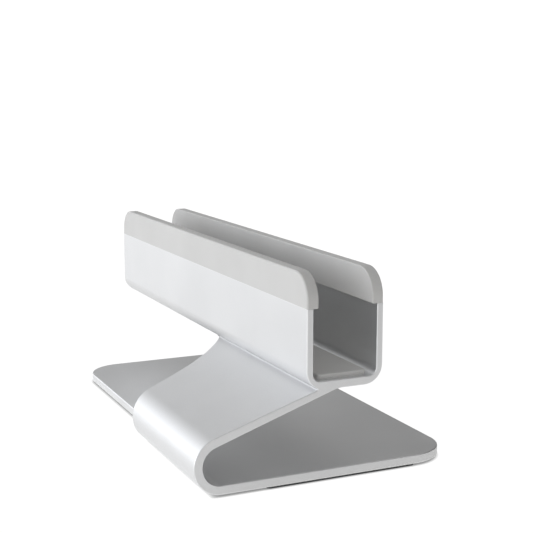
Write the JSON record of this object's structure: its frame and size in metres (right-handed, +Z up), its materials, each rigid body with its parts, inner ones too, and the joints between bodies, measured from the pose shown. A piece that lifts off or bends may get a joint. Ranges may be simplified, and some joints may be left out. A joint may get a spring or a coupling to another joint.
{
  "type": "vertical laptop stand",
  "caption": "Desk stand that holds a closed laptop on edge in a padded U-channel, carried by a folded neck on a flat plate.",
  "frame": {"origin": "centre of the overall box at the supporting surface", "axes": "+X along the channel towards the end where the fold and neck are flush with it, +Y to the back, +Z up"},
  "size_m": [0.2504, 0.1252, 0.0902],
  "materials": {
    "aluminium": "bead-blasted, clear anodised",
    "silicone": "matt moulded silicone",
    "foot_rubber": "matt rubber",
    "adhesive": "translucent film"
  },
  "bodies": {
    "root": {"stand_body": "aluminium", "front_lip_cap": "silicone", "back_lip_cap": "silicone", "slot_floor_pad": "silicone", "slot_pad_film": "adhesive", "flush_end_foot_strip": "foot_rubber", "flush_end_foot_film": "adhesive", "free_end_foot_strip": "foot_rubber", "free_end_foot_film": "adhesive"}
  },
  "joints": []
}
